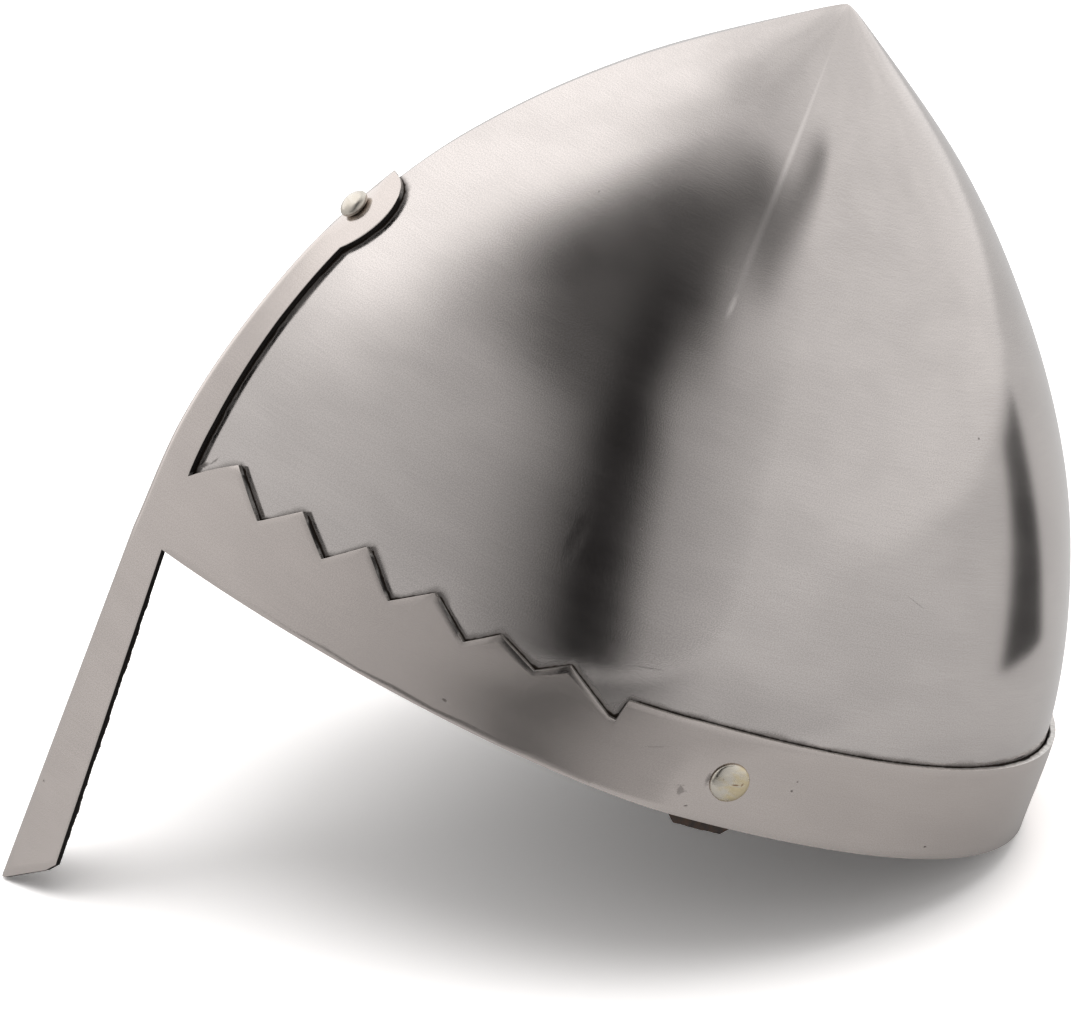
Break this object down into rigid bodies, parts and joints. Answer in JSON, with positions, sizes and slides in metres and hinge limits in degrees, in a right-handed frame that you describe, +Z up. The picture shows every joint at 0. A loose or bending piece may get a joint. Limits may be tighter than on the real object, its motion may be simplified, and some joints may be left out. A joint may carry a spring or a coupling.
{
  "type": "norman nasal helmet",
  "caption": "Conical steel helmet with a toothed brow band, a V-section nasal bar, a riveted brow strip and leather tabs, lying tipped forward on its nasal and the back of its rim.",
  "frame": {"origin": "centre of the bounding box on the floor that the helmet lies on", "axes": "+Z up as it lies, -Y the way the face looks, +X the wearer's left"},
  "size_m": [0.1882, 0.2574, 0.2012],
  "materials": {
    "skull_steel": "satin brushed steel, fine strokes running round the skull",
    "band_steel": "satin ground steel with bright cut edges and black residue in the seam",
    "rivet_steel": "polished steel heads with a faint brassy tarnish",
    "dark_leather": "dark brown oiled leather with rough cut edges"
  },
  "bodies": {
    "root": {"skull": "skull_steel", "brow_band": "band_steel", "nasal_lining": "dark_leather", "tab_left": "dark_leather", "tab_right": "dark_leather", "rivet_front": "rivet_steel", "rivet_left": "rivet_steel", "rivet_right": "rivet_steel"}
  },
  "joints": []
}
